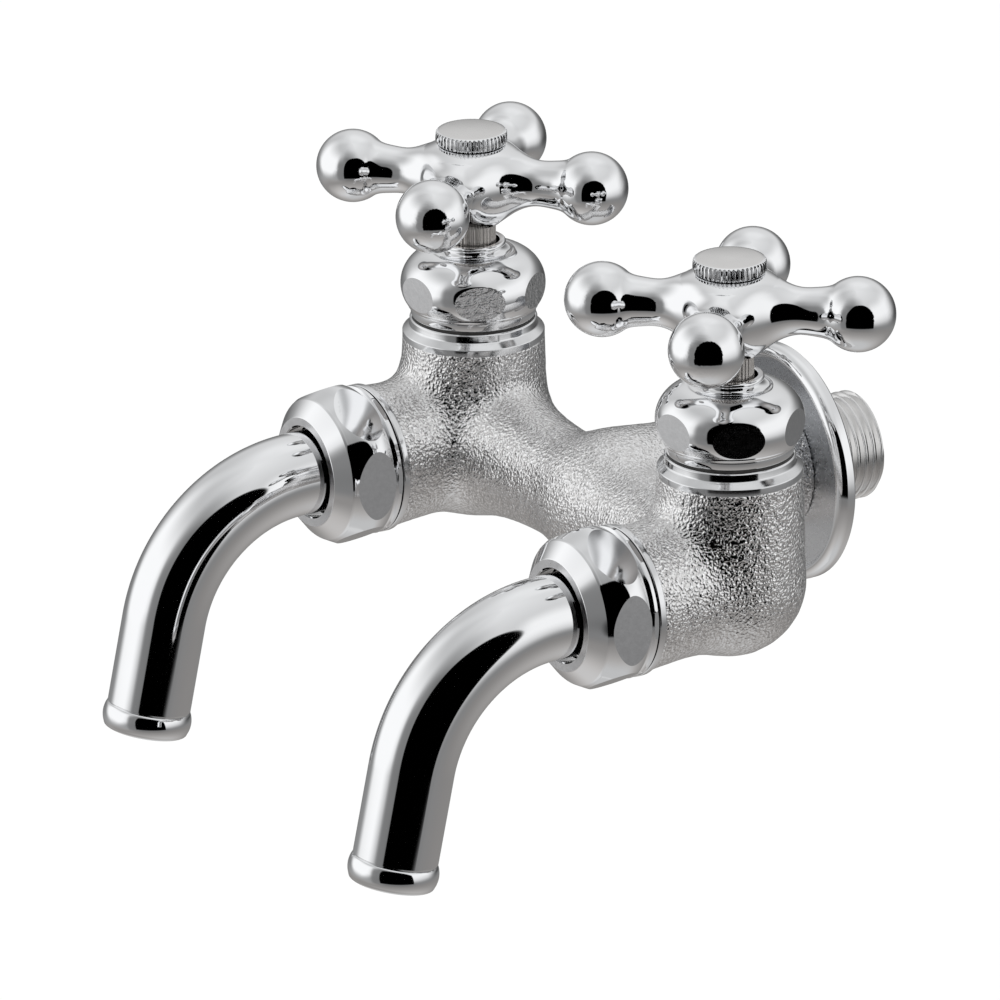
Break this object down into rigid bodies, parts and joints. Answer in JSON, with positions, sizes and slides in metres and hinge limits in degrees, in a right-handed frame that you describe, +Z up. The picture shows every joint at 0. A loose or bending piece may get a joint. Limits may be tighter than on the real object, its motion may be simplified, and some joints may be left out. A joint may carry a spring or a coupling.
{
  "type": "dual outlet outdoor tap",
  "caption": "Wall tap with one threaded inlet, twin side by side jumper valves with four-ball cross handles, and swivel down-bent spouts.",
  "frame": {"origin": "on the inlet axis, in the plane of the wall behind the flange", "axes": "+X to the right seen from the front, +Y along the inlet into the wall, +Z up"},
  "size_m": [0.1399, 0.1413, 0.1093],
  "materials": {
    "cast_chrome": "chrome plate over a rough-textured brass casting, machined rims polished",
    "polished_chrome": "mirror-polished chrome plate",
    "satin_chrome": "satin chrome plate, knurled edge",
    "brushed_stem": "drawn and splined, chrome-coloured",
    "brass": "machined",
    "stainless": "spring wire",
    "black_rubber": "matte",
    "grey_resin": "moulded"
  },
  "bodies": {
    "root": {"body_casting": "cast_chrome", "wall_flange": "polished_chrome", "flange_gasket": "black_rubber", "left_cover_nut": "polished_chrome", "left_cover_gasket": "black_rubber", "left_packing_washer": "brass", "left_gland_packing": "black_rubber", "left_spout_nut": "polished_chrome", "left_spout_packing": "black_rubber", "left_slip_ring": "grey_resin", "right_cover_nut": "polished_chrome", "right_cover_gasket": "black_rubber", "right_packing_washer": "brass", "right_gland_packing": "black_rubber", "right_spout_nut": "polished_chrome", "right_spout_packing": "black_rubber", "right_slip_ring": "grey_resin"},
    "left_jumper": {"left_jumper_valve": "brass", "left_jumper_washer": "black_rubber", "left_jumper_nut": "brass"},
    "left_handle_set": {"left_handle": "polished_chrome", "left_handle_screw": "satin_chrome", "left_spindle": "brushed_stem"},
    "left_spout": {"left_spout_pipe": "polished_chrome", "left_snap_ring": "stainless"},
    "right_jumper": {"right_jumper_valve": "brass", "right_jumper_washer": "black_rubber", "right_jumper_nut": "brass"},
    "right_handle_set": {"right_handle": "polished_chrome", "right_handle_screw": "satin_chrome", "right_spindle": "brushed_stem"},
    "right_spout": {"right_spout_pipe": "polished_chrome", "right_snap_ring": "stainless"}
  },
  "joints": [
    {"name": "left_valve_lift", "type": "slide", "parent": "root", "child": "left_jumper", "axis": [0, 0, 1], "range_m": [0, 0.0045]},
    {"name": "left_handle_turn", "type": "hinge", "parent": "left_jumper", "child": "left_handle_set", "pos_m": [-0.045, -0.043, 0.0524], "axis": [0, 0, 1], "range_deg": [0, 540.1]},
    {"name": "left_spout_swivel", "type": "hinge", "parent": "root", "child": "left_spout", "pos_m": [-0.045, -0.0838, 0], "axis": [0, 1, 0], "range_deg": [-50, 180]},
    {"name": "right_valve_lift", "type": "slide", "parent": "root", "child": "right_jumper", "axis": [0, 0, 1], "range_m": [0, 0.0045]},
    {"name": "right_handle_turn", "type": "hinge", "parent": "right_jumper", "child": "right_handle_set", "pos_m": [0.045, -0.043, 0.0524], "axis": [0, 0, 1], "range_deg": [0, 540.1]},
    {"name": "right_spout_swivel", "type": "hinge", "parent": "root", "child": "right_spout", "pos_m": [0.045, -0.0838, 0], "axis": [0, -1, 0], "range_deg": [-50, 180]}
  ],
  "couplings": [
    {"joint": "left_handle_turn", "follows": "left_valve_lift", "rad_per_m": 2094.4},
    {"joint": "right_handle_turn", "follows": "right_valve_lift", "rad_per_m": 2094.4}
  ]
}
